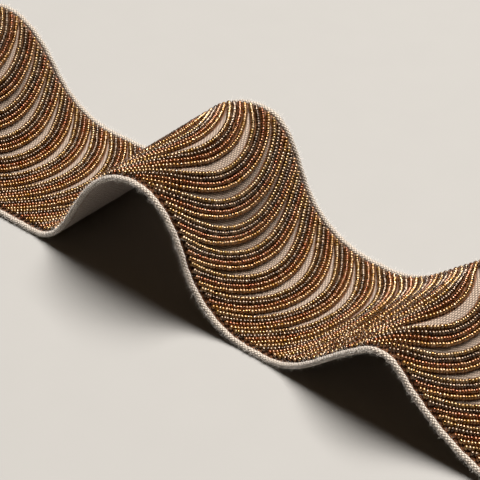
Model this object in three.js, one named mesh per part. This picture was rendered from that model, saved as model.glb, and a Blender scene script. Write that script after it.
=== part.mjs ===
// Beaded tape trim: a cut length of woven tape lying in three waves, with a corded binding
// along each edge and curved bands of seed beads sewn across it, four strings to a band.
// Millimetres. +X along the run of the tape, +Y towards its back edge, +Z up, and the origin
// under the middle of the trim, at the height of the surface that it lies on.

import * as THREE from 'three';
import { mergeVertices } from 'three/addons/utils/BufferGeometryUtils.js';

// Widths and thicknesses
const TRIM_WIDTH = 60;
const BINDING_WIDTH = 1.8;
const BINDING_LOW = 0.05;
const SEWN_GAP = 0.3;
const TAPE_WIDTH = TRIM_WIDTH - 2 * (BINDING_WIDTH + SEWN_GAP);
const TAPE_THICKNESS = 1;

// Bead bands: the arcs bulge towards +X and repeat along the tape
const BEAD_FIELD = 54.3;
const BAND_PITCH = 9;
const FIRST_BAND = 12.4;
const LAST_BAND_MARGIN = 2;
const ARC_BOW = 16.2;
const ARC_HALF_SPAN = 28.8;
const ARC_APEX_Y = 1.2;
const STRINGS_PER_BAND = 4;
const STRING_PITCH_EDGE = 1.51;
const STRING_PITCH_EXTRA = 0.126;
const BAND_TRIM = 0.1;
const BAND_GAP = 0.48;
const BAND_SEAT = TAPE_THICKNESS + 0.57;
const BEAD_DIAMETER = 1.5;
const VALLEY_DEPTH = 0.6;
const SEAT_ARCH = 0.3;

// How finely the curved faces are divided
const TAPE_STEP = 4.6;
const TAPE_STRIPS = 3;
const BINDING_SIDES = 8;
const BAND_STEPS = 12;
const EDGE_CROWDING = 0.25;
const NEAR_MIDDLE = 0.01;
const LENGTH_SAMPLES = 24;

// The folds, in order along the tape: where its underside is at the front edge, how steeply
// it runs there in degrees, and how far the back edge differs from the front one.
const HANDLE = 0.36;
const FOLDS = [
  { name: 'upstream end', x: -168, z: 0, tilt: 0, backX: 0, backZ: 0, backTilt: 0 },
  { name: 'first foot', x: -157, z: 0, tilt: 0, backX: 0, backZ: 0, backTilt: 0 },
  { name: 'first rise', x: -127.1, z: 17.2, tilt: 52.6, backX: 1, backZ: -0.5, backTilt: -0.5 },
  { name: 'first crest', x: -103.2, z: 31.3, tilt: 0.6, backX: 1.1, backZ: 0.2, backTilt: 0 },
  { name: 'first fall', x: -81.9, z: 17.8, tilt: -57, backX: 1.1, backZ: -1.7, backTilt: -1.1 },
  { name: 'first dip', x: -54.1, z: 0, tilt: 0, backX: 0.9, backZ: 0, backTilt: 0 },
  { name: 'end of first dip', x: -33.6, z: 0, tilt: 0, backX: 1.9, backZ: 0, backTilt: 0 },
  { name: 'middle rise', x: -8.6, z: 25.5, tilt: 56.6, backX: 3, backZ: 1.7, backTilt: 3.3 },
  { name: 'middle crest', x: 13.5, z: 40.5, tilt: -0.3, backX: 2.6, backZ: -1.1, backTilt: -0.5 },
  { name: 'middle fall', x: 31.6, z: 21.2, tilt: -73.2, backX: 0.8, backZ: -3.3, backTilt: 9.4 },
  { name: 'second dip', x: 57.3, z: 0, tilt: 0, backX: 4.2, backZ: 0, backTilt: 0 },
  { name: 'end of second dip', x: 63.8, z: 0, tilt: 0, backX: 3.4, backZ: 0, backTilt: 0 },
  { name: 'last rise', x: 96.4, z: 20.1, tilt: 37.3, backX: 5, backZ: 0, backTilt: 2.1 },
  { name: 'last crest', x: 107.6, z: 25.4, tilt: -10.4, backX: 4.1, backZ: 1, backTilt: 0 },
  { name: 'last fall', x: 116, z: 18.6, tilt: -44.1, backX: 4.3, backZ: -0.2, backTilt: 0 },
  { name: 'last foot', x: 155.4, z: 0, tilt: 0, backX: 0, backZ: 0, backTilt: 0 },
  { name: 'downstream end', x: 168, z: 0, tilt: 0, backX: 0, backZ: 0, backTilt: 0 },
];

const LINEN = new THREE.MeshStandardMaterial({ color: '#a3967f', roughness: 0.92, metalness: 0 });
const BINDING = new THREE.MeshStandardMaterial({ color: '#b4a996', roughness: 0.9, metalness: 0 });
const BRONZE_BEADS = new THREE.MeshStandardMaterial({ color: '#7d5426', roughness: 0.3, metalness: 0.75 });

// Joins two folds of one edge with a smooth curve in the X and Z plane.
function foldCurve(start, end) {
  const reach = HANDLE * Math.hypot(end.x - start.x, end.z - start.z);
  const handle = (fold, sign) => {
    const angle = THREE.MathUtils.degToRad(fold.tilt);
    return new THREE.Vector2(
      fold.x + sign * reach * Math.cos(angle),
      fold.z + sign * reach * Math.sin(angle),
    );
  };
  return new THREE.CubicBezierCurve(
    new THREE.Vector2(start.x, start.z),
    handle(start, 1),
    handle(end, -1),
    new THREE.Vector2(end.x, end.z),
  );
}

const frontFolds = FOLDS.map(({ x, z, tilt }) => ({ x, z, tilt }));
const backFolds = FOLDS.map((fold) => ({
  x: fold.x + fold.backX,
  z: fold.z + fold.backZ,
  tilt: fold.tilt + fold.backTilt,
}));
const curvesOf = (folds) => folds.slice(1).map((fold, i) => foldCurve(folds[i], fold));
const frontCurves = curvesOf(frontFolds);
const backCurves = curvesOf(backFolds);

// The lengths along the middle of the tape at which each fold starts, with samples between.
function measureRun() {
  const samples = [];
  let length = 0;
  let last = null;
  for (let fold = 0; fold < frontCurves.length; fold += 1) {
    for (let i = last ? 1 : 0; i <= LENGTH_SAMPLES; i += 1) {
      const t = i / LENGTH_SAMPLES;
      const middle = frontCurves[fold].getPoint(t).lerp(backCurves[fold].getPoint(t), 0.5);
      length += last ? middle.distanceTo(last) : 0;
      samples.push({ length, place: fold + t });
      last = middle;
    }
  }
  return samples;
}

const RUN = measureRun();
const TAPE_LENGTH = RUN[RUN.length - 1].length;

// The fold number and the part of the way to the next fold, at a length along the tape.
function placeAt(length) {
  const inside = THREE.MathUtils.clamp(length, 0, TAPE_LENGTH);
  const next = Math.max(1, RUN.findIndex((sample) => sample.length >= inside));
  const [before, after] = [RUN[next - 1], RUN[next]];
  const part = (inside - before.length) / (after.length - before.length);
  const place = before.place + part * (after.place - before.place);
  const fold = Math.min(Math.floor(place), frontCurves.length - 1);
  return { fold, t: place - fold };
}

// Lays a point of the flat tape in the folds: its length along the tape, its place across
// it, and its height over the underside.
function lay(length, across, height) {
  const { fold, t } = placeAt(length);
  const share = across / TRIM_WIDTH + 0.5;
  const front = frontCurves[fold].getPoint(t);
  const back = backCurves[fold].getPoint(t);
  const point = front.clone().lerp(back, share);
  const run = frontCurves[fold].getTangent(t).lerp(backCurves[fold].getTangent(t), share);
  const normal = new THREE.Vector3(run.x, 0, run.y)
    .cross(new THREE.Vector3(back.x - front.x, TRIM_WIDTH, back.y - front.y))
    .normalize();
  return new THREE.Vector3(point.x, across, point.y).addScaledVector(normal, height);
}

// The lengths at which the tape is divided: evenly within each fold, with a line at each end.
function tapeStations() {
  const stations = [0];
  for (let fold = 0; fold < frontCurves.length; fold += 1) {
    const start = stations[stations.length - 1];
    const end = RUN[(fold + 1) * LENGTH_SAMPLES].length;
    const steps = Math.ceil((end - start) / TAPE_STEP);
    for (let i = 1; i <= steps; i += 1) {
      stations.push(start + ((end - start) * i) / steps);
    }
  }
  return stations;
}

const STATIONS = tapeStations();
const stationAt = (share) => STATIONS[Math.round(share * (STATIONS.length - 1))];

// Bends a straight geometry into the folds: toFlat gives each point's place on the flat tape.
function bend(geometry, toFlat) {
  geometry.deleteAttribute('normal');
  geometry.deleteAttribute('uv');
  const position = geometry.getAttribute('position');
  const point = new THREE.Vector3();
  for (let i = 0; i < position.count; i += 1) {
    point.fromBufferAttribute(position, i);
    const { length, across, height } = toFlat(point);
    const laid = lay(length, across, height);
    position.setXYZ(i, laid.x, laid.y, laid.z);
  }
  const merged = mergeVertices(geometry, 1e-4);
  merged.computeVertexNormals();
  return merged;
}

function piece(name, geometry, material) {
  const mesh = new THREE.Mesh(geometry, material);
  mesh.name = name;
  return mesh;
}

// The woven tape, one sheet from end to end.
function tapeSheet() {
  const flat = new THREE.BoxGeometry(
    1, TAPE_WIDTH, TAPE_THICKNESS, STATIONS.length - 1, TAPE_STRIPS, 1,
  );
  return bend(flat, ({ x, y, z }) => ({
    length: stationAt(x + 0.5),
    across: y,
    height: z + TAPE_THICKNESS / 2,
  }));
}

// The corded binding sewn along one edge; side is -1 in front and 1 behind.
function edgeBinding(side) {
  const radius = BINDING_WIDTH / 2;
  const middle = side * (TRIM_WIDTH / 2 - radius);
  const straight = new THREE.CylinderGeometry(
    radius, radius, 1, BINDING_SIDES, STATIONS.length - 1,
  );
  return bend(straight, ({ x, y, z }) => ({
    length: stationAt(y + 0.5),
    across: middle - z,
    height: BINDING_LOW + radius - x,
  }));
}

// How far along the tape an arc has bulged at a place across it.
function arcBulge(across) {
  const t = (across - ARC_APEX_Y) / ARC_HALF_SPAN;
  return ARC_BOW * (1 - t * t);
}

// The distance along the tape between neighbouring strings, wider where the arcs run aslant.
function stringSpacing(across) {
  const t = (across - ARC_APEX_Y) / ARC_HALF_SPAN;
  const slope = (2 * ARC_BOW * t) / ARC_HALF_SPAN;
  return (STRING_PITCH_EDGE + STRING_PITCH_EXTRA * (1 - t * t)) * Math.hypot(1, slope);
}

// The section through a band, two units wide: a low arch underneath and one ridge a string.
function bandSection() {
  const top = BAND_SEAT + BEAD_DIAMETER;
  const section = new THREE.Shape();
  section.moveTo(-1, BAND_SEAT);
  section.lineTo(0, BAND_SEAT + SEAT_ARCH);
  section.lineTo(1, BAND_SEAT);
  for (let string = STRINGS_PER_BAND - 1; string >= 0; string -= 1) {
    const ridge = (2 * (string + 0.5)) / STRINGS_PER_BAND - 1;
    section.lineTo(ridge, top);
    if (string > 0) {
      section.lineTo(ridge - 1 / STRINGS_PER_BAND, top - VALLEY_DEPTH);
    }
  }
  section.closePath();
  return section;
}

// The place across the tape of a step of a band, closer together where the arc runs aslant.
function acrossAt(share) {
  const even = 1 - 2 * share;
  return (BEAD_FIELD / 2) * even * (1 + EDGE_CROWDING - EDGE_CROWDING * even * even);
}

// Each side face is a quad a b c d, held as the triangles a b d and b c d. In the front half
// the arcs lean the other way, so there the split turns to a b c and a c d, which keeps it
// short and clear of the crests.
function turnFrontSplits(geometry) {
  const corners = geometry.getAttribute('position');
  const copyCorner = (from, to) => {
    corners.setXYZ(to, corners.getX(from), corners.getY(from), corners.getZ(from));
  };
  const { start, count } = geometry.groups[1];
  for (let a = start; a < start + count; a += 6) {
    const c = a + 4;
    if (Math.max(corners.getZ(a), corners.getZ(c)) > BEAD_FIELD / 2 + NEAR_MIDDLE) {
      copyCorner(c, a + 2);
      copyCorner(a, a + 3);
    }
  }
  return geometry;
}

// One band of four strings; start is the length along the tape where its second string begins.
function beadBand(start) {
  const straight = new THREE.ExtrudeGeometry(bandSection(), {
    depth: BEAD_FIELD,
    steps: BAND_STEPS,
    bevelEnabled: false,
  });
  return bend(turnFrontSplits(straight), ({ x, y, z }) => {
    const across = acrossAt(z / BEAD_FIELD);
    const spacing = stringSpacing(across);
    const halfWidth = Math.min(
      (STRINGS_PER_BAND / 2) * spacing - BAND_TRIM,
      (BAND_PITCH - BAND_GAP) / 2,
    );
    return {
      length: start + arcBulge(across) + spacing / 2 + x * halfWidth,
      across,
      height: y,
    };
  });
}

// How many whole bands fit before the downstream end.
function bandCount() {
  const reach = ARC_BOW + (STRINGS_PER_BAND / 2 + 0.5) * stringSpacing(ARC_APEX_Y);
  return 1 + Math.floor((TAPE_LENGTH - LAST_BAND_MARGIN - reach - FIRST_BAND) / BAND_PITCH);
}

const trim = new THREE.Group();
trim.add(piece('tape', tapeSheet(), LINEN));
trim.add(piece('binding_front', edgeBinding(-1), BINDING));
trim.add(piece('binding_back', edgeBinding(1), BINDING));
for (let band = 0; band < bandCount(); band += 1) {
  const name = `bead_band_${String(band + 1).padStart(2, '0')}`;
  trim.add(piece(name, beadBand(FIRST_BAND + band * BAND_PITCH), BRONZE_BEADS));
}

export default trim;
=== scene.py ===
"""Beaded tape trim: a cut length of woven tape lying in three waves.

Curved bands of seed beads, four strings of beads to a band, are sewn across the tape, and a
soft binding with short fuzz runs along each edge. Metres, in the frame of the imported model:
+X along the run of the tape, +Y towards its back edge, +Z up.
"""

import logging
import math
from collections.abc import Callable
from dataclasses import dataclass, field
from enum import Enum

import bmesh
import bpy
import numpy as np
from bmesh.types import BMEdge, BMesh, BMLoop
from bpy.types import ID, Material, Mesh, Node, NodeSocket, Object
from mathutils import Matrix, Vector


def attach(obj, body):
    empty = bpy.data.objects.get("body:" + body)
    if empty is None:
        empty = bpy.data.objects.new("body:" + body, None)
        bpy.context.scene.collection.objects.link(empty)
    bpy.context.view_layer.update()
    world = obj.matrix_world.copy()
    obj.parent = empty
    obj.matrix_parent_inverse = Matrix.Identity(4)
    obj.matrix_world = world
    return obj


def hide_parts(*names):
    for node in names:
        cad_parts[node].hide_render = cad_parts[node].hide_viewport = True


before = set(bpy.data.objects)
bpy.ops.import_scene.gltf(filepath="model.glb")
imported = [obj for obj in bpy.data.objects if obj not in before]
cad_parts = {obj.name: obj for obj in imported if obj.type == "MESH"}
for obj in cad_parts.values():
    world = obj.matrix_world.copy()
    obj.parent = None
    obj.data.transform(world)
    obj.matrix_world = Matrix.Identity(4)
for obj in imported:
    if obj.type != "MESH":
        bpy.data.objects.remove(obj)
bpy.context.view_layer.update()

LOG = logging.getLogger("beaded_trim")
BODY = "root"
MM = 0.001
FLAT_MAP = "Weave"
BAKE_MAP = "OFBake"
Colour = tuple[float, float, float]
Point = tuple[float, float, float]
Pair = tuple[float, float]
Socket = NodeSocket
Input = float | Colour | Socket
Array = np.ndarray


# Lines and directions


def normalised(vectors: Array) -> Array:
    """The same directions, each one unit long."""
    return vectors / np.linalg.norm(vectors, axis=-1, keepdims=True)


def running_length(line: Array) -> Array:
    """The distance along a line in a plane, at each of its points."""
    steps = np.diff(line, axis=0)
    return np.concatenate([[0.0], np.cumsum(np.hypot(steps[:, 0], steps[:, 1]))])


# The folds of the tape


@dataclass(frozen=True)
class FoldLine:
    """One line across the tape, in mm and degrees.

    x, z and tilt say where the underside is at the front edge and how steeply it runs there.
    back_x, back_z and back_tilt say how far the back edge differs from the front one.
    """

    name: str
    x: float
    z: float
    tilt: float
    back_x: float = 0.0
    back_z: float = 0.0
    back_tilt: float = 0.0


FOLD_LINES = (
    FoldLine("upstream end", -168, 0, 0),
    FoldLine("first foot", -157, 0, 0),
    FoldLine("first rise", -127.1, 17.2, 52.6, 1, -0.5, -0.5),
    FoldLine("first crest", -103.2, 31.3, 0.6, 1.1, 0.2, 0),
    FoldLine("first fall", -81.9, 17.8, -57, 1.1, -1.7, -1.1),
    FoldLine("first dip", -54.1, 0, 0, 0.9, 0, 0),
    FoldLine("end of first dip", -33.6, 0, 0, 1.9, 0, 0),
    FoldLine("middle rise", -8.6, 25.5, 56.6, 3, 1.7, 3.3),
    FoldLine("middle crest", 13.5, 40.5, -0.3, 2.6, -1.1, -0.5),
    FoldLine("middle fall", 31.6, 21.2, -73.2, 0.8, -3.3, 9.4),
    FoldLine("second dip", 57.3, 0, 0, 4.2, 0, 0),
    FoldLine("end of second dip", 63.8, 0, 0, 3.4, 0, 0),
    FoldLine("last rise", 96.4, 20.1, 37.3, 5, 0, 2.1),
    FoldLine("last crest", 107.6, 25.4, -10.4, 4.1, 1, 0),
    FoldLine("last fall", 116, 18.6, -44.1, 4.3, -0.2, 0),
    FoldLine("last foot", 155.4, 0, 0),
    FoldLine("downstream end", 168, 0, 0),
)


@dataclass
class FoldedRun:
    """The waves in which the tape lies, and the way from its flat length to its place there.

    Sizes are in mm, and only the points that lay gives are in metres.
    """

    trim_width: float = 60.0
    handle: float = 0.36
    samples: int = 24
    probe: float = 0.05
    lines: tuple[FoldLine, ...] = FOLD_LINES
    front: Array = field(init=False)
    back: Array = field(init=False)
    places: Array = field(init=False)
    lengths: Array = field(init=False)

    def __post_init__(self) -> None:
        """Works out the curves of both edges and measures the length along the middle."""
        self.front = self._curves([(r.x, r.z, r.tilt) for r in self.lines])
        self.back = self._curves(
            [(r.x + r.back_x, r.z + r.back_z, r.tilt + r.back_tilt) for r in self.lines]
        )
        count = len(self.lines) - 1
        self.places = np.linspace(0, count, count * self.samples + 1)
        front, _ = self._along(self.front, self.places)
        back, _ = self._along(self.back, self.places)
        self.lengths = running_length((front + back) / 2)

    @property
    def length(self) -> float:
        """The length of the tape along its middle, in mm."""
        return float(self.lengths[-1])

    def _curves(self, folds: list[Point]) -> Array:
        """Joins the folds of one edge with cubic curves.

        Args:
            folds: The place and tilt at each fold.

        Returns:
            The four control points of each curve, as an array of folds, points and X and Z.
        """
        curves = []
        for start, end in zip(folds[:-1], folds[1:]):
            reach = self.handle * math.hypot(end[0] - start[0], end[1] - start[1])
            first, last = math.radians(start[2]), math.radians(end[2])
            leave = (start[0] + reach * math.cos(first), start[1] + reach * math.sin(first))
            arrive = (end[0] - reach * math.cos(last), end[1] - reach * math.sin(last))
            curves.append((start[:2], leave, arrive, end[:2]))
        return np.array(curves)

    @staticmethod
    def _along(curves: Array, places: Array) -> tuple[Array, Array]:
        """Follows one edge.

        Args:
            curves: The control points of its curves.
            places: The number of a fold plus the part of the way to the next one.

        Returns:
            The points on the edge, and the unit tangents there.
        """
        fold = np.minimum(places.astype(int), len(curves) - 1)
        t = (places - fold)[..., None]
        p = np.moveaxis(curves[fold], -2, 0)
        u = 1 - t
        points = u**3 * p[0] + 3 * u * u * t * p[1] + 3 * u * t * t * p[2] + t**3 * p[3]
        run = u * u * (p[1] - p[0]) + 2 * u * t * (p[2] - p[1]) + t * t * (p[3] - p[2])
        return points, normalised(run)

    def lay(self, flat: Array) -> Array:
        """Lays points of the flat tape in the folds.

        Args:
            flat: The length along the tape, the place across it and the height over its
                underside of each point, in mm.

        Returns:
            The points in metres, in an array of the same shape.
        """
        length, across, height = np.moveaxis(np.asarray(flat, float), -1, 0)
        inside = np.clip(length, 0, self.length)
        places = np.interp(inside, self.lengths, self.places)
        share = (across / self.trim_width + 0.5)[..., None]
        front, front_run = self._along(self.front, places)
        back, back_run = self._along(self.back, places)
        span = back - front
        run = front_run + (back_run - front_run) * share
        point = front + span * share + run * (length - inside)[..., None]
        width = np.full_like(across, self.trim_width)
        wide = np.stack([span[..., 0], width, span[..., 1]], axis=-1)
        along = np.stack([run[..., 0], np.zeros_like(across), run[..., 1]], axis=-1)
        normal = normalised(np.cross(along, wide))
        place = np.stack([point[..., 0], across, point[..., 1]], axis=-1)
        return (place + normal * height[..., None]) * MM

    def axes(self, flat: Array, heading: Array) -> tuple[Array, ...]:
        """Finds how things that are sewn to the tape are turned.

        Args:
            flat: The places of the things, as lay takes them.
            heading: Which way each one points on the flat tape, along and across it.

        Returns:
            Three unit vectors for each place: ahead, aside and up from the cloth.
        """
        step = np.concatenate([heading * self.probe, np.zeros_like(heading[..., :1])], axis=-1)
        rise = np.array([0.0, 0.0, self.probe])
        ahead = normalised(self.lay(flat + step) - self.lay(flat - step))
        up = self.lay(flat + rise) - self.lay(flat - rise)
        up = normalised(up - ahead * np.sum(up * ahead, axis=-1, keepdims=True))
        return ahead, np.cross(up, ahead), up


@dataclass
class BeadArcs:
    """Where the strings of beads run on the flat tape, in mm.

    The arcs and their places are those of the second string of each band.
    """

    field_width: float = 54.3
    pitch: float = 9.0
    first: float = 11.6
    bands: int = 43
    bow: float = 16.9
    half_span: float = 28.8
    apex: float = 0.7
    spacing_edge: float = 1.51
    spacing_extra: float = 0.126
    strings: int = 4
    samples: int = 300

    @property
    def run(self) -> float:
        """The distance from the first band to the last one."""
        return (self.bands - 1) * self.pitch

    def string(self, band: int, string: int) -> Array:
        """The line of one string.

        Args:
            band: The number of the band, from 0 upstream.
            string: The number of the string in it, from 0 upstream.

        Returns:
            Points along the string: the length along the tape and the place across it.
        """
        across = np.linspace(-self.field_width / 2, self.field_width / 2, self.samples)
        t = (across - self.apex) / self.half_span
        fall = 1 - t * t
        slope = 2 * self.bow * t / self.half_span
        spacing = (self.spacing_edge + self.spacing_extra * fall) * np.hypot(1, slope)
        start = self.first + band * self.pitch
        length = start + self.bow * fall + (string - 1) * spacing
        return np.stack([length, across], axis=-1)


# Small tools for meshes


def new_object(name: str, data: ID) -> Object:
    """Makes an object from a mesh, a light or a camera, and puts it in the scene."""
    bpy.context.scene.collection.objects.link(made := bpy.data.objects.new(name, data))
    return made


def finished_object(name: str, mesh: Mesh, materials: list[Material]) -> Object:
    """Puts a mesh in the scene as one smooth piece that rides on the body.

    Args:
        name: The name of the piece.
        mesh: Its mesh, already in place.
        materials: The materials for its slots, in order.

    Returns:
        The new object.
    """
    mesh.name = name
    for material in materials:
        mesh.materials.append(material)
    mesh.polygons.foreach_set("use_smooth", np.ones(len(mesh.polygons), bool))
    piece = new_object(name, mesh)
    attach(piece, BODY)
    return piece


def mesh_of(bm: BMesh, name: str) -> Mesh:
    """Writes a bmesh to a new mesh and frees it.

    Args:
        bm: The bmesh.
        name: The name of the mesh.

    Returns:
        The mesh, with its faces turned outwards.
    """
    bmesh.ops.recalc_face_normals(bm, faces=bm.faces)
    mesh = bpy.data.meshes.new(name)
    bm.to_mesh(mesh)
    bm.free()
    return mesh


def points_of(mesh: Mesh) -> Array:
    """The points of a mesh, one row for each."""
    mesh.vertices.foreach_get("co", points := np.empty(len(mesh.vertices) * 3))
    return points.reshape(-1, 3)


def move_points(mesh: Mesh, place: Callable[[Array], Array]) -> None:
    """Moves every point of a mesh to where place puts it."""
    mesh.vertices.foreach_set("co", place(points_of(mesh)).ravel())
    mesh.update()


def corner_points(mesh: Mesh) -> Array:
    """The point at each corner of each face, in the order of the mesh's loops."""
    mesh.loops.foreach_get("vertex_index", corners := np.empty(len(mesh.loops), int))
    return points_of(mesh)[corners]


def set_map(mesh: Mesh, name: str, places: Array) -> None:
    """Gives a mesh a UV map with a place for each corner."""
    layer = mesh.uv_layers.new(name=name)
    layer.data.foreach_set("uv", places.astype(np.float32).ravel())


@dataclass
class Shape:
    """One small shape as arrays, to be repeated many times in a joined mesh."""

    points: Array
    faces: list[list[int]]
    uv: Array

    @classmethod
    def from_bmesh(cls, bm: BMesh, place: Callable[[BMLoop], Pair]) -> "Shape":
        """Reads a shape from a bmesh and frees it.

        Args:
            bm: The shape, in mm, about its own origin.
            place: Gives the place of a corner on the shape's own small map.

        Returns:
            The shape.
        """
        bmesh.ops.recalc_face_normals(bm, faces=bm.faces)
        bm.verts.index_update()
        points = np.array([v.co[:] for v in bm.verts])
        faces = [[v.index for v in f.verts] for f in bm.faces]
        uv = np.array([place(corner) for f in bm.faces for corner in f.loops])
        bm.free()
        return cls(points, faces, uv)


@dataclass
class Heap:
    """Many copies of one small shape, gathered into one mesh.

    Each copy has a square of its own on the mesh's map, less a bare margin on every side.
    """

    shape: Shape
    margin: float
    points: list[Array] = field(default_factory=list)
    slots: list[Array] = field(default_factory=list)
    tones: list[Array] = field(default_factory=list)

    def add(self, points: Array, slot: int, tones: Array) -> None:
        """Adds copies of the shape.

        Args:
            points: The points of each copy, in metres.
            slot: The material slot of the copies.
            tones: A number from 0 to 1 for each copy.
        """
        self.points.append(points)
        self.slots.append(np.full(len(points), slot, np.int32))
        self.tones.append(tones)

    def mesh(self, name: str) -> Mesh:
        """Joins all the copies.

        Args:
            name: The name of the mesh.

        Returns:
            The mesh, with the map for its corners and the attribute tone for its points.
        """
        points = np.concatenate(self.points)
        copies, each = points.shape[:2]
        faces = []
        for first in range(0, copies * each, each):
            faces.extend([first + i for i in face] for face in self.shape.faces)
        mesh = bpy.data.meshes.new(name)
        mesh.from_pydata(points.reshape(-1, 3), [], faces)
        slots = np.repeat(np.concatenate(self.slots), len(self.shape.faces))
        mesh.polygons.foreach_set("material_index", slots)
        set_map(mesh, BAKE_MAP, self._map(copies))
        tones = np.repeat(np.concatenate(self.tones), each).astype(np.float32)
        mesh.attributes.new("tone", "FLOAT", "POINT").data.foreach_set("value", tones)
        mesh.update()
        return mesh

    def _map(self, copies: int) -> Array:
        """Shares out the mesh's map, row by row.

        Args:
            copies: How many copies need a square.

        Returns:
            The places of the corners of every copy.
        """
        squares = math.ceil(math.sqrt(copies))
        copy = np.arange(copies)
        square = np.stack([copy % squares, copy // squares], axis=-1)
        used = 1 - 2 * self.margin
        return (square[:, None, :] + self.margin + used * self.shape.uv[None]) / squares


# Materials


class Tree:
    """A material's nodes, with short ways to add and join them."""

    def __init__(self, name: str) -> None:
        """Starts a material with a plain shader."""
        self.material = bpy.data.materials.new(name)
        self.material.use_nodes = True
        self.nodes = self.material.node_tree.nodes
        self.links = self.material.node_tree.links
        self.shader = self.nodes["Principled BSDF"]

    def put(self, socket: Socket, value: Input) -> None:
        """Links a socket to another one, or sets it to a number or colour.

        Args:
            socket: The socket to fill.
            value: What goes into it.
        """
        if isinstance(value, Socket):
            self.links.new(value, socket)
        elif isinstance(value, tuple) and len(socket.default_value) == 4:
            socket.default_value = (*value, 1.0)
        else:
            socket.default_value = value

    def add(self, kind: str, inputs: dict[str | int, Input], **settings: object) -> Node:
        """Adds a node.

        Args:
            kind: The type of node, without its prefix.
            inputs: What goes into its sockets, by their names or numbers.
            settings: Its other settings.

        Returns:
            The node.
        """
        node = self.nodes.new("ShaderNode" + kind)
        for name, value in settings.items():
            setattr(node, name, value)
        for name, value in inputs.items():
            self.put(node.inputs[name], value)
        return node

    def math(self, operation: str, *numbers: Input) -> Socket:
        """The result of one sum on one number or two."""
        return self.add("Math", dict(enumerate(numbers)), operation=operation).outputs[0]

    def plus(self, a: Input, b: Input) -> Socket:
        """Two numbers added."""
        return self.math("ADD", a, b)

    def minus(self, a: Input, b: Input) -> Socket:
        """The first number less the second."""
        return self.math("SUBTRACT", a, b)

    def times(self, a: Input, b: Input) -> Socket:
        """Two numbers multiplied."""
        return self.math("MULTIPLY", a, b)

    def ratio(self, a: Input, b: Input) -> Socket:
        """The first number divided by the second."""
        return self.math("DIVIDE", a, b)

    def swing(self, value: Input, amount: float) -> Socket:
        """Carries 0 to 1 over to half the amount on each side of zero."""
        return self.times(self.minus(value, 0.5), amount)

    def wave(self, count: Input) -> Socket:
        """A wave from -1 to 1 that crosses zero at each whole number."""
        return self.math("SINE", self.times(count, math.pi))

    def blend(self, share: Input, low: Input, high: Input, kind: str = "MIX") -> Socket:
        """A colour between low and high, or low changed by high in another kind of mix."""
        inputs = {0: share, 6: low, 7: high}
        return self.add("Mix", inputs, data_type="RGBA", blend_type=kind).outputs[2]

    def between(self, value: Input, to: Pair, of: Pair = (0.0, 1.0)) -> Socket:
        """Carries a number from one range over to another, and holds it there."""
        names = ("Value", "From Min", "From Max", "To Min", "To Max")
        return self.add("MapRange", dict(zip(names, (value, *of, *to)))).outputs[0]

    def noise(self, vector: Socket, scale: float, detail: float = 2.0) -> Socket:
        """Soft noise from 0 to 1."""
        inputs = {"Vector": vector, "Scale": scale, "Detail": detail}
        return self.add("TexNoise", inputs).outputs[0]

    def place(self) -> Socket:
        """The place of a point on the body, in metres."""
        return self.add("TexCoord", {}).outputs["Object"]

    def tone(self) -> Socket:
        """The number from 0 to 1 that each copy of a small shape has."""
        return self.add("Attribute", {}, attribute_name="tone").outputs["Fac"]

    def flat_map(self, stretch: Pair = (1.0, 1.0)) -> Socket:
        """The piece's own flat map, in mm, with each of its directions scaled."""
        uv = self.add("UVMap", {}, uv_map=FLAT_MAP)
        return self.add("Mapping", {"Vector": uv.outputs[0], "Scale": (*stretch, 1.0)}).outputs[0]

    def flat_places(self) -> tuple[Socket, Socket]:
        """The place along the flat map and the place across it, in mm."""
        split = self.add("SeparateXYZ", {"Vector": self.flat_map()})
        return split.outputs[0], split.outputs[1]

    def drift(self, scale: float, amount: float) -> Socket:
        """A slow swing from place to place over the flat map."""
        return self.swing(self.noise(self.flat_map((scale, scale)), 1.0), amount)

    def bump(self, height: Socket, depth_mm: float) -> None:
        """Raises the surface by a height from 0 to 1."""
        node = self.add("Bump", {"Height": height, "Strength": 1.0, "Distance": depth_mm * MM})
        self.put(self.shader.inputs["Normal"], node.outputs[0])

    def surface(self, **inputs: Input) -> Material:
        """Dresses the shader.

        Args:
            inputs: What goes into its sockets, by their names with _ for a space.

        Returns:
            The finished material.
        """
        for name, value in inputs.items():
            self.put(self.shader.inputs[name.replace("_", " ")], value)
        return self.material

    def cloth(self, colour: Socket, rough: Socket, sheen: Pair) -> Material:
        """Dresses the shader as cloth, with the weight and the roughness of its sheen."""
        soft = {"Sheen_Weight": sheen[0], "Sheen_Roughness": sheen[1]}
        return self.surface(Base_Color=colour, Roughness=rough, **soft)


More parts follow.
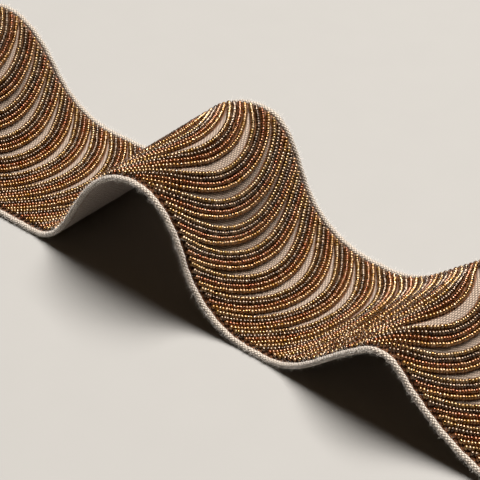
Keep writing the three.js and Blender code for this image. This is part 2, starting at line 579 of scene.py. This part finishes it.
@dataclass(frozen=True)
class WovenFinish:
    """Plain weave with long floats across the tape, on a map in mm.

    Under the beads and close to them the cloth is multiplied by a deep golden brown. This is
    painted shade that stands in for the beads' shadow and the brown light they throw; elsewhere
    the cloth is pale.
    The fades say how far from the strings of beads the painted shade begins or ends.
    """

    name: str
    dark: Colour
    light: Colour
    painted_shade: Colour
    weft_pitch: float = 0.49
    warp_pitch: float = 0.66
    wander: float = 0.9
    wander_scale: float = 0.35
    float_height: Pair = (1.0, 0.2)
    float_cover: Pair = (-0.5, 0.6)
    sunk_height: Pair = (0.0, 0.45)
    relief: float = 0.14
    slub: float = 0.2
    slub_scale: Pair = (2.2, 0.28)
    hair: float = 0.2
    hair_relief: float = 0.25
    hair_scale: float = 3.0
    shade: Pair = (0.03, 0.92)
    shade_heights: Pair = (0.18, 0.78)
    roughness: Pair = (0.82, 0.98)
    sheen: Pair = (0.25, 0.5)
    fade_after: Pair = (0.65, 1.0)
    fade_before: Pair = (0.6, 0.85)
    fade_upstream: Pair = (-1.6, -0.8)
    fade_downstream: Pair = (1.0, 1.8)
    fade_aside: float = 1.5

    def _painted_shade_depth(self, tree: Tree, arcs: BeadArcs) -> Socket:
        """Finds how deep the painted shade is at each place.

        Args:
            tree: The material's nodes.
            arcs: Where the strings of beads run.

        Returns:
            A number from 0 for pale cloth to 1 for full painted shade beside and under the beads.
        """
        length, across = tree.flat_places()
        t = tree.ratio(tree.minus(across, arcs.apex), arcs.half_span)
        fall = tree.times(t, t)
        slope = tree.times(t, 2 * arcs.bow / arcs.half_span)
        stretch = tree.math("SQRT", tree.plus(tree.times(slope, slope), 1.0))
        extra = tree.times(fall, arcs.spacing_extra)
        upright = tree.minus(arcs.spacing_edge + arcs.spacing_extra, extra)
        spacing = tree.times(upright, stretch)
        bulge = tree.minus(arcs.bow, tree.times(fall, arcs.bow))
        start = tree.plus(tree.minus(tree.minus(length, bulge), arcs.first), spacing)
        place = tree.math("FLOORED_MODULO", start, arcs.pitch)
        width = tree.times(spacing, arcs.strings - 1.0)
        after = tree.ratio(tree.minus(place, width), stretch)
        before = tree.ratio(tree.minus(arcs.pitch, place), stretch)
        near = tree.math(
            "MAXIMUM",
            tree.between(after, (1.0, 0.0), self.fade_after),
            tree.between(before, (1.0, 0.0), self.fade_before),
        )
        edge = arcs.field_width / 2
        aside = tree.math("ABSOLUTE", across)
        # Painted shade also darkens the cloth along both edges of the beaded field, where the
        # strings end.
        rim = tree.between(aside, (0.0, 1.0), (edge - self.fade_aside, edge))
        upstream = tree.between(start, (0.0, 1.0), self.fade_upstream)
        past_last = tuple(arcs.run + far for far in self.fade_downstream)
        downstream = tree.between(tree.minus(start, width), (1.0, 0.0), past_last)
        on_top = tree.math("LESS_THAN", aside, arcs.field_width)
        beaded = tree.times(tree.times(upstream, downstream), on_top)
        return tree.times(tree.math("MAXIMUM", near, rim), beaded)

    def material(self, arcs: BeadArcs) -> Material:
        """Makes the cloth's material.

        Args:
            arcs: Where the strings of beads run.

        Returns:
            The material.
        """
        tree = Tree(self.name)
        length, across = tree.flat_places()
        drift = tree.drift(self.wander_scale, self.wander)
        weft = tree.wave(tree.plus(tree.ratio(length, self.weft_pitch), drift))
        warp = tree.wave(tree.plus(tree.ratio(across, self.warp_pitch), drift))
        over = tree.times(weft, warp)
        cover = tree.between(over, self.float_height, self.float_cover)
        floats = tree.times(tree.math("ABSOLUTE", weft), cover)
        sunk = tree.times(tree.math("ABSOLUTE", warp), tree.between(over, self.sunk_height))
        height = tree.math("MAXIMUM", floats, sunk)
        slubs = tree.noise(tree.flat_map(self.slub_scale), 1.0)
        hairs = tree.noise(tree.flat_map(), self.hair_scale, detail=4.0)
        # Painted shade: the sunk parts of the weave are coloured towards the dark tone, as if
        # shadowed.
        depth = tree.between(height, self.shade, self.shade_heights)
        tone = tree.plus(depth, tree.swing(slubs, self.slub))
        tone = tree.plus(tone, tree.swing(hairs, self.hair))
        tree.bump(tree.plus(height, tree.times(hairs, self.hair_relief)), self.relief)
        plain = tree.blend(tone, self.dark, self.light)
        # Painted shade: near the beads the cloth is multiplied by a brown shadow colour.
        shade_veil = tree.blend(self._painted_shade_depth(tree, arcs), (1.0, 1.0, 1.0), self.painted_shade)
        colour = tree.blend(1.0, plain, shade_veil, "MULTIPLY")
        return tree.cloth(colour, tree.between(hairs, self.roughness), self.sheen)


@dataclass(frozen=True)
class BindingFinish:
    """Soft cord with a fine braid in two slanting directions, on a map in mm."""

    name: str
    dark: Colour
    light: Colour
    braid_pitch: float = 1.12
    braid_dip: Pair = (0.1, 1.0)
    braid_cut: Pair = (0.0, 0.8)
    wander: float = 0.5
    wander_scale: float = 0.6
    relief: float = 0.18
    fluff: float = 0.5
    fluff_relief: float = 0.8
    fluff_scale: float = 2.4
    shade: Pair = (0.0, 0.9)
    shade_heights: Pair = (0.1, 0.8)
    roughness: Pair = (0.85, 1.0)
    sheen: Pair = (0.4, 0.55)

    def material(self) -> Material:
        """Makes the binding's material.

        Returns:
            The material.
        """
        tree = Tree(self.name)
        drift = tree.drift(self.wander_scale, self.wander)
        strands = []
        for slant in (tree.plus, tree.minus):
            turns = tree.ratio(slant(*tree.flat_places()), self.braid_pitch)
            strands.append(tree.math("ABSOLUTE", tree.wave(tree.plus(turns, drift))))
        dip = tree.between(strands[1], self.braid_dip, self.braid_cut)
        height = tree.times(strands[0], dip)
        fluff = tree.noise(tree.flat_map(), self.fluff_scale, detail=5.0)
        # Painted shade: where the braid dips, it is coloured towards the dark tone, as if
        # shadowed.
        depth = tree.between(height, self.shade, self.shade_heights)
        tone = tree.plus(depth, tree.swing(fluff, self.fluff))
        tree.bump(tree.plus(height, tree.times(fluff, self.fluff_relief)), self.relief)
        colour = tree.blend(tone, self.dark, self.light)
        return tree.cloth(colour, tree.between(fluff, self.roughness), self.sheen)


@dataclass(frozen=True)
class BeadFinish:
    """One colour of glazed metallic beads, with duller and brighter beads among them.

    Patterns are scaled for places in metres. The shuffle gives each bead a polish of its own
    that has nothing to do with its tone.
    """

    name: str
    dull: Colour
    bright: Colour
    glaze_ior: float = 1.5
    glaze_roughness: float = 0.1
    glow_weight: float = 0.24
    glow: Colour = (1.0, 0.30, 0.03)
    glow_roughness: float = 0.35
    rim: Colour = (0.6, 0.28, 0.08)
    roughness: Pair = (0.192, 0.48)
    mottle: float = 0.4
    mottle_scale: float = 900.0
    shuffle: float = 37.0

    def material(self) -> Material:
        """Makes the beads' material.

        Returns:
            The material.
        """
        tree = Tree(self.name)
        tone = tree.tone()
        cloud = tree.noise(tree.place(), self.mottle_scale)
        mixed = tree.plus(tone, tree.swing(cloud, self.mottle))
        polish = tree.math("FRACT", tree.times(tone, self.shuffle))
        return tree.surface(
            Base_Color=tree.blend(mixed, self.dull, self.bright),
            Metallic=1.0,
            Specular_Tint=self.rim,
            Roughness=tree.between(polish, self.roughness),
            Coat_Weight=1.0,
            Coat_Roughness=self.glaze_roughness,
            Coat_IOR=self.glaze_ior,
            Sheen_Weight=self.glow_weight,
            Sheen_Tint=self.glow,
            Sheen_Roughness=self.glow_roughness,
        )


@dataclass(frozen=True)
class FibreFinish:
    """Soft loose fibres, some paler than others and each one speckled."""

    name: str
    dark: Colour
    light: Colour
    speckle: float = 0.6
    speckle_scale: float = 2500.0
    relief: float = 0.04
    roughness: Pair = (0.6, 0.8)
    sheen: Pair = (1.0, 0.6)

    def material(self) -> Material:
        """Makes the fibres' material.

        Returns:
            The material.
        """
        tree = Tree(self.name)
        specks = tree.noise(tree.place(), self.speckle_scale)
        own = tree.times(tree.tone(), 1 - self.speckle)
        shade = tree.plus(own, tree.times(specks, self.speckle))
        tree.bump(specks, self.relief)
        colour = tree.blend(shade, self.dark, self.light)
        return tree.cloth(colour, tree.between(specks, self.roughness), self.sheen)


class StringColour(Enum):
    """The four strings of a band, from upstream to downstream."""

    OLIVE = BeadFinish("olive_gold_beads", (0.18, 0.097, 0.013), (0.30, 0.216, 0.135))
    GUNMETAL = BeadFinish(
        "gunmetal_beads", (0.030, 0.012, 0.002), (0.205, 0.137, 0.084), 1.54, glow_weight=0.1
    )
    COPPER = BeadFinish("copper_beads", (0.145, 0.030, 0.001), (0.232, 0.128, 0.058))
    AMBER = BeadFinish("amber_gold_beads", (0.21, 0.098, 0.010), (0.33, 0.214, 0.120))


# The third colour is painted shade, multiplied into the cloth beside and under the beads.
CLOTH_FINISH = WovenFinish(
    "tape_weave", (0.055, 0.037, 0.026), (0.56, 0.43, 0.335), (0.45, 0.20, 0.045)
)
BINDING_FINISH = BindingFinish("binding_weave", (0.095, 0.074, 0.054), (0.73, 0.635, 0.545))
FIBRE_FINISH = FibreFinish("loose_fibre", (0.6, 0.54, 0.47), (0.88, 0.81, 0.73))


# The pieces


@dataclass
class TapeCloth:
    """The woven tape: one sheet laid in the folds, a little uneven from the sewing.

    The places of the underside are shifted on the map, away from the painted shade of the beads.
    """

    folds: FoldedRun
    arcs: BeadArcs
    width: float = 56.6
    thickness: float = 0.95
    step_along: float = 1.1
    step_across: float = 1.6
    pucker: float = 0.1
    pucker_waves: int = 5
    pucker_length: float = 7.0
    pucker_spread: Pair = (0.6, 1.6)
    underside_shift: float = 200.0
    seed: int = 11

    def build(self) -> Object:
        """Makes the sheet from a grid that is given its thickness and laid in the folds.

        Returns:
            The piece.
        """
        bm = bmesh.new()
        along = round(self.folds.length / self.step_along)
        across = round(self.width / self.step_across)
        bmesh.ops.create_grid(bm, x_segments=along, y_segments=across, size=0.5)
        bmesh.ops.solidify(bm, geom=bm.faces[:], thickness=1.0)
        mesh = mesh_of(bm, "tape_cloth")
        move_points(mesh, self._flat)
        places = corner_points(mesh)
        below = places[:, 2] < self.thickness / 2
        shift = below[:, None] * (0.0, self.underside_shift)
        set_map(mesh, FLAT_MAP, places[:, :2] + shift)
        move_points(mesh, self.folds.lay)
        return finished_object("tape_cloth", mesh, [CLOTH_FINISH.material(self.arcs)])

    def _flat(self, unit: Array) -> Array:
        """Stretches the sheet to its flat size.

        Args:
            unit: The points of a sheet one unit long, wide and thick.

        Returns:
            The flat places, in mm.
        """
        length = (unit[:, 0] + 0.5) * self.folds.length
        across = unit[:, 1] * self.width
        height = (unit[:, 2] - unit[:, 2].min()) * self.thickness
        height = np.maximum(height + self._pucker(length, across), 0.0)
        return np.stack([length, across, height], axis=-1)

    def _pucker(self, length: Array, across: Array) -> Array:
        """Finds the unevenness of the sewn cloth, from a few waves that cross it.

        Args:
            length: The places along the tape, in mm.
            across: The places across it, in mm.

        Returns:
            How much higher each place is, in mm.
        """
        random = np.random.default_rng(self.seed)
        found = np.zeros_like(length)
        for _ in range(self.pucker_waves):
            turn, shift = random.uniform(0, math.pi), random.uniform(0, math.tau)
            wave = length * math.cos(turn) + across * math.sin(turn)
            crest_gap = self.pucker_length * random.uniform(*self.pucker_spread)
            found += np.sin(wave * math.tau / crest_gap + shift)
        return found * self.pucker / self.pucker_waves


@dataclass
class Binding:
    """The soft corded binding sewn along one edge.

    Its girth swells and its line wavers in two waves each, given in radians to the mm.
    """

    folds: FoldedRun
    name: str
    side: int
    seed: int
    diameter: float = 1.8
    low: float = 0.05
    trim_edge: float = 30.0
    sides: int = 14
    step_along: float = 0.7
    swell: float = 0.05
    swell_waves: Pair = (0.41, 1.7)
    waver: float = 0.07
    waver_waves: Pair = (0.9, 2.3)

    def build(self) -> Object:
        """Makes the binding from a divided cylinder and lays it along its edge.

        Returns:
            The piece.
        """
        bm = bmesh.new()
        bmesh.ops.create_cone(
            bm, cap_ends=True, segments=self.sides, radius1=1, radius2=1, depth=1
        )
        cuts = round(self.folds.length / self.step_along)
        bmesh.ops.subdivide_edges(bm, edges=long_edges(bm), cuts=cuts, use_grid_fill=False)
        mesh = mesh_of(bm, self.name)
        unit = corner_points(mesh)
        around = np.arctan2(unit[:, 1], unit[:, 0]) * self.diameter / 2
        along = (unit[:, 2] + 0.5) * self.folds.length
        set_map(mesh, FLAT_MAP, np.stack([along, around], axis=-1))
        move_points(mesh, self.place)
        return finished_object(self.name, mesh, [BINDING_FINISH.material()])

    def place(self, unit: Array) -> Array:
        """Carries points round a unit cylinder to their places on the binding.

        Args:
            unit: The points, with the cylinder along Z and its middle at the origin.

        Returns:
            The points in metres.
        """
        length = (unit[:, 2] + 0.5) * self.folds.length
        slow, fast = self.swell_waves
        swell = 1 + self.swell * np.sin(length * fast + self.seed) * np.sin(length * slow)
        slow, fast = self.waver_waves
        waver = np.sin(length * slow + 2 * self.seed) + np.sin(length * fast) - 1
        radius = self.diameter / 2
        middle = self.side * (self.trim_edge - radius + self.waver * waver)
        across = middle + unit[:, 0] * radius * swell
        height = self.low + radius + unit[:, 1] * radius * swell
        return self.folds.lay(np.stack([length, across, height], axis=-1))


def long_edges(bm: BMesh) -> list[BMEdge]:
    """The edges that run from end to end of a cone or cylinder one unit high."""
    return [e for e in bm.edges if abs(e.verts[0].co.z - e.verts[1].co.z) > 0.5]


@dataclass
class Fuzz:
    """The short loose fibres that stand off a binding.

    turn is the middle and spread of where they stand round it, in radians above its outer
    side. root and tip are places on lines out from its middle, as shares of its radius.
    """

    binding: Binding
    hairs_per_mm: float = 18.0
    length: float = 0.62
    longest: float = 1.1
    evenness: float = 3.0
    width: float = 0.055
    taper: float = 0.12
    sections: int = 2
    sides: int = 3
    turn: Pair = (0.2, 0.8)
    root: float = 0.96
    tip: float = 1.3
    scatter: float = 0.45
    curl: float = 0.6
    most_curl: float = 0.7
    margin: float = 0.1
    seed: int = 70

    def shape(self) -> Shape:
        """Makes one fibre: a thin cone along Z, one unit long and one unit wide.

        Returns:
            The shape.
        """
        bm = bmesh.new()
        bmesh.ops.create_cone(
            bm, cap_ends=True, segments=self.sides, radius1=0.5, radius2=self.taper, depth=1
        )
        bmesh.ops.translate(bm, verts=bm.verts, vec=(0, 0, 0.5))
        bmesh.ops.subdivide_edges(bm, edges=long_edges(bm), cuts=self.sections - 1)
        return Shape.from_bmesh(bm, lambda corner: (corner.vert.co.x + 0.5, corner.vert.co.z))

    def build(self) -> Object:
        """Plants the fibres round the outer side of the binding.

        Returns:
            The piece.
        """
        random = np.random.default_rng(self.seed + self.binding.seed)
        count = int(self.hairs_per_mm * self.binding.folds.length)
        roots = random.uniform(0, 1, count)
        turn = random.normal(*self.turn, count)
        ring = np.stack([self.binding.side * np.cos(turn), np.sin(turn), roots - 0.5], axis=-1)
        start = self.binding.place(ring * (self.root, self.root, 1.0))
        out = normalised(self.binding.place(ring * (self.tip, self.tip, 1.0)) - start)
        out = normalised(out + random.normal(0, self.scatter, (count, 3)))
        bend = random.normal(0, self.curl, (count, 3))
        bend = np.clip(bend, -self.most_curl, self.most_curl)
        reach = random.gamma(self.evenness, self.length / self.evenness, count)
        reach = np.minimum(reach, self.longest)[:, None, None] * MM
        shape = self.shape()
        x, y, share = (shape.points[None, :, i : i + 1] for i in range(3))
        middle = start[:, None] + (out[:, None] * share + bend[:, None] * share**2) * reach
        aside = normalised(np.cross(out, (0.0, 0.0, 1.0)))
        over = normalised(np.cross(out, aside))
        points = middle + (x * aside[:, None] + y * over[:, None]) * self.width * MM
        points[..., 2] = np.maximum(points[..., 2], 0.0)
        heap = Heap(shape, self.margin)
        heap.add(points, 0, random.uniform(0, 1, count))
        name = self.binding.name.replace("binding", "fuzz")
        return finished_object(name, heap.mesh(name), [FIBRE_FINISH.material()])


@dataclass
class Bead:
    """A seed bead: a rounded barrel along X, closed flat where its hole would be, in mm.

    On its small map the barrel has the lower rows, and the discs of both ends the upper one.
    """

    diameter: float = 1.58
    length: float = 0.99
    end: float = 0.72
    shoulder: float = 0.5
    sides: int = 8
    barrel_rows: Pair = (0.08, 0.76)
    end_columns: Pair = (0.25, 0.75)
    end_row: float = 0.9
    end_disc: float = 0.2

    def shape(self) -> Shape:
        """Spins the bead's outline round its axis and closes its ends.

        Returns:
            The shape.
        """
        bm = bmesh.new()
        half, flat = self.length / 2, self.length * self.shoulder / 2
        narrow, wide = self.end / 2, self.diameter / 2
        outline = ((-half, narrow), (-flat, wide), (flat, wide), (half, narrow))
        points = [bm.verts.new((x, 0.0, r)) for x, r in outline]
        edges = [bm.edges.new(pair) for pair in zip(points[:-1], points[1:])]
        turn = {"cent": (0, 0, 0), "axis": (1, 0, 0), "angle": math.tau, "steps": self.sides}
        bmesh.ops.spin(bm, geom=points + edges, use_merge=True, **turn)
        bmesh.ops.remove_doubles(bm, verts=bm.verts, dist=1e-4)
        bmesh.ops.holes_fill(bm, edges=[e for e in bm.edges if e.is_boundary], sides=0)
        return Shape.from_bmesh(bm, self._place_on_map)

    def _place_on_map(self, corner: BMLoop) -> Pair:
        """Finds the place of a corner on the bead's map.

        Args:
            corner: The corner of a face of the bead.

        Returns:
            The place, from 0 to 1 each way.
        """
        x, y, z = corner.vert.co
        if len(corner.face.verts) == self.sides:
            disc = self.end_disc / self.end
            return self.end_columns[x > 0] + disc * y, self.end_row + disc * z
        centre = corner.face.calc_center_median()
        start = math.floor(math.atan2(centre.y, centre.z) / math.tau * self.sides) / self.sides
        turn = (math.atan2(y, z) / math.tau - start + 0.5) % 1.0 - 0.5
        column = (start + turn) % 1.0 if turn >= 0 else start
        low, high = self.barrel_rows
        return column, low + (high - low) * (x / self.length + 0.5)


@dataclass
class StringPlaces:
    """Where the beads of one string are, which way it heads there, and their relative lengths."""

    flat: Array
    heading: Array
    lengths: Array


@dataclass
class BeadBand:
    """One band of beads, four strings sewn side by side. Sizes in mm, wobble in degrees."""

    folds: FoldedRun
    arcs: BeadArcs
    bead: Bead
    shape: Shape
    number: int
    materials: list[Material]
    bead_pitch: float = 1.02
    cloth_top: float = 0.98
    lift: float = 0.04
    lift_spread: float = 0.04
    length_spread: float = 0.12
    length_limits: Pair = (0.72, 1.3)
    girth_spread: float = 0.045
    drift: float = 0.1
    drift_turns: int = 12
    wobble: float = 11.0
    probe: float = 0.2
    tone_bias: Pair = (1.1, 1.3)
    margin: float = 0.04
    seed: int = 1000

    @property
    def node(self) -> str:
        """The name of the plain band that this one stands for."""
        return f"bead_band_{self.number + 1:02d}"

    def build(self) -> Object:
        """Strings the beads of all four colours and joins them into one piece.

        Returns:
            The piece.
        """
        random = np.random.default_rng(self.seed + self.number)
        strings = [self._places(string, random) for string in range(self.arcs.strings)]
        heap = Heap(self.shape, self.margin)
        for slot, places in enumerate(strings):
            points = self._thread(places, random)
            heap.add(points, slot, random.beta(*self.tone_bias, len(points)))
        name = f"beads_{self.number + 1:02d}"
        return finished_object(name, heap.mesh(name), self.materials)

    def _places(self, string: int, random: np.random.Generator) -> StringPlaces:
        """Spaces beads of uneven length along a string.

        Args:
            string: The number of the string in the band.
            random: Where the small irregularities come from.

        Returns:
            The places of the beads.
        """
        line = self.arcs.string(self.number, string)
        run = running_length(line)
        count = int(run[-1] / self.bead_pitch)
        lengths = np.clip(random.normal(1, self.length_spread, count), *self.length_limits)
        lengths *= run[-1] / lengths.sum()
        middles = np.cumsum(lengths) - lengths / 2
        behind, flat, ahead = (
            np.stack([np.interp(middles + step, run, line[:, i]) for i in range(2)], axis=-1)
            for step in (-self.probe, 0.0, self.probe)
        )
        heading = normalised(ahead - behind)
        aside = np.stack([heading[:, 1], -heading[:, 0]], axis=-1)
        turns = np.linspace(0, run[-1], self.drift_turns)
        stray = np.interp(middles, turns, random.normal(0, self.drift / 2, len(turns)))
        stray = stray + random.normal(0, self.drift / 2, count)
        height = self.cloth_top + self.bead.diameter / 2 + self.lift
        height = height + random.normal(0, self.lift_spread, count)
        places = np.concatenate([flat + aside * stray[:, None], height[:, None]], axis=-1)
        return StringPlaces(places, heading, lengths / self.bead_pitch)

    def _thread(self, places: StringPlaces, random: np.random.Generator) -> Array:
        """Puts a bead at each place.

        Args:
            places: The places of the beads of one string.
            random: Where the small irregularities come from.

        Returns:
            The points of every bead, in metres.
        """
        count = len(places.flat)
        centre = self.folds.lay(places.flat)
        ahead, aside, up = self.folds.axes(places.flat, places.heading)
        lean = np.radians(random.normal(0, self.wobble, (count, 2)))
        ahead = normalised(ahead + aside * lean[:, :1] + up * lean[:, 1:])
        aside = normalised(np.cross(up, ahead))
        up = np.cross(ahead, aside)
        turn = random.uniform(0, math.tau, count)[:, None]
        first = aside * np.cos(turn) + up * np.sin(turn)
        second = np.cross(ahead, first)
        girth = random.normal(1, self.girth_spread, count)
        x, y, z = (self.shape.points[None, :, i : i + 1] * MM for i in range(3))
        along = (x * places.lengths[:, None, None]) * ahead[:, None]
        around = y * first[:, None] + z * second[:, None]
        return centre[:, None] + along + around * girth[:, None, None]


@dataclass
class BeadedTrim:
    """The whole trim, piece by piece."""

    folds: FoldedRun = field(default_factory=FoldedRun)
    arcs: BeadArcs = field(default_factory=BeadArcs)
    bead: Bead = field(default_factory=Bead)

    def build(self) -> list[Object]:
        """Makes every piece and hides the plain parts of the frame that they replace.

        Returns:
            The pieces.
        """
        cloth = TapeCloth(self.folds, self.arcs)
        tape = cloth.build()
        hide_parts("tape")
        bindings = [*self._binding("front", -1, 3), *self._binding("back", 1, 5)]
        return [tape, *bindings, *self._bands()]

    def _binding(self, edge: str, side: int, seed: int) -> tuple[Object, ...]:
        """Makes the binding of one edge and its fuzz.

        Args:
            edge: The name of the edge.
            side: The side on which it lies, -1 for the front and 1 for the back.
            seed: Where its small irregularities come from.

        Returns:
            The binding and the fuzz.
        """
        binding = Binding(self.folds, f"{edge}_binding", side, seed)
        piece, fuzz = binding.build(), Fuzz(binding).build()
        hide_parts(f"binding_{edge}")
        return piece, fuzz

    def _bands(self) -> list[Object]:
        """Makes the bands of beads, one for each plain band of the frame.

        Returns:
            The bands, from upstream to downstream.
        """
        shape = self.bead.shape()
        materials = [colour.value.material() for colour in StringColour]
        pieces = []
        for number in range(self.arcs.bands):
            band = BeadBand(self.folds, self.arcs, self.bead, shape, number, materials)
            piece = band.build()
            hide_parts(band.node)
            pieces.append(piece)
        return pieces


# The stage


@dataclass
class Studio:
    """A plain pale floor, one large soft light in a dim room, and the camera.

    The aimed point of the trim falls on the aimed pixel, at its depth in metres.
    """

    floor_size: float = 6.0
    floor_colour: Colour = (0.288, 0.284, 0.278)
    floor_shade: float = 0.97
    floor_grain: float = 60.0
    floor_roughness: float = 0.9
    light_place: Point = (0.36, 1.35, 4.26)
    light_size: float = 2.7
    light_power: float = 560.0
    light_colour: Colour = (1.0, 0.96, 0.905)
    room_glow: Colour = (0.052, 0.033, 0.016)
    wall_colour: Colour = (0.72, 0.705, 0.685)
    azimuth: float = 40.37
    elevation: float = 37.19
    frame_pixels: float = 480.0
    focal_pixels: float = 1833.6
    sensor: float = 36.0
    aim: Point = (0.06975, -0.02753, 0.0019)
    aim_depth: float = 0.54449
    aim_pixel: Pair = (281.2, 360.85)

    def build(self) -> None:
        """Sets up the floor, the light, the world and the camera."""
        self._floor()
        self._light()
        self._world()
        self._camera()
        bpy.context.scene.view_settings.view_transform = "Standard"

    def _floor(self) -> None:
        """Lays the pale floor."""
        bm = bmesh.new()
        bmesh.ops.create_grid(bm, x_segments=1, y_segments=1, size=self.floor_size / 2)
        mesh = mesh_of(bm, "floor")
        tree = Tree("pale_floor")
        grain = tree.noise(tree.place(), self.floor_grain)
        shade = tuple(self.floor_shade * c for c in self.floor_colour)
        colour = tree.blend(grain, shade, self.floor_colour)
        mesh.materials.append(tree.surface(Base_Color=colour, Roughness=self.floor_roughness))
        floor = new_object("floor", mesh)

    def _light(self) -> None:
        """Hangs the square soft light, which looks at the trim."""
        data = bpy.data.lights.new("key", "AREA")
        data.size = self.light_size
        data.energy = self.light_power
        data.color = self.light_colour
        light = new_object("key", data)
        light.location = self.light_place
        light.rotation_euler = (-Vector(self.light_place)).to_track_quat("-Z", "Y").to_euler()
        light.visible_camera = False

    def _world(self) -> None:
        """Surrounds the trim with a dim room, whose far wall is seen as a plain pale one."""
        world = bpy.data.worlds.new("studio")
        world.use_nodes = True
        nodes, links = world.node_tree.nodes, world.node_tree.links
        glow = nodes["Background"]
        wall = nodes.new("ShaderNodeBackground")
        mix = nodes.new("ShaderNodeMixShader")
        glow.inputs["Color"].default_value = (*self.room_glow, 1.0)
        wall.inputs["Color"].default_value = (*self.wall_colour, 1.0)
        links.new(nodes.new("ShaderNodeLightPath").outputs["Is Camera Ray"], mix.inputs[0])
        links.new(glow.outputs[0], mix.inputs[1])
        links.new(wall.outputs[0], mix.inputs[2])
        links.new(mix.outputs[0], nodes["World Output"].inputs["Surface"])
        bpy.context.scene.world = world

    def _camera(self) -> None:
        """Places the camera so that the aimed point falls on its pixel."""
        turn, rise = math.radians(self.azimuth), math.radians(self.elevation)
        level = math.cos(rise)
        back = Vector((math.sin(turn) * level, -math.cos(turn) * level, math.sin(rise)))
        right = Vector((math.cos(turn), math.sin(turn), 0.0))
        up = back.cross(right)
        middle = self.frame_pixels / 2
        off_right = (self.aim_pixel[0] - middle) / self.focal_pixels
        off_down = (self.aim_pixel[1] - middle) / self.focal_pixels
        ray = -back + right * off_right - up * off_down
        data = bpy.data.cameras.new("camera")
        data.sensor_width = self.sensor
        data.lens = self.sensor * self.focal_pixels / self.frame_pixels
        camera = new_object("camera", data)
        turned = Matrix((right, up, back)).transposed().to_4x4()
        eye = Vector(self.aim) - ray * self.aim_depth
        camera.matrix_world = Matrix.Translation(eye) @ turned
        bpy.context.scene.camera = camera


def main() -> None:
    logging.basicConfig(level=logging.INFO, format="%(name)s: %(message)s")
    Studio().build()
    pieces = BeadedTrim().build()
    total = 0
    for piece in pieces:
        piece.data.calc_loop_triangles()
        count = len(piece.data.loop_triangles)
        total += count
        LOG.info("%s: %d triangles", piece.name, count)
    LOG.info("%d pieces, %d triangles", len(pieces), total)


if __name__ == "__main__":
    main()
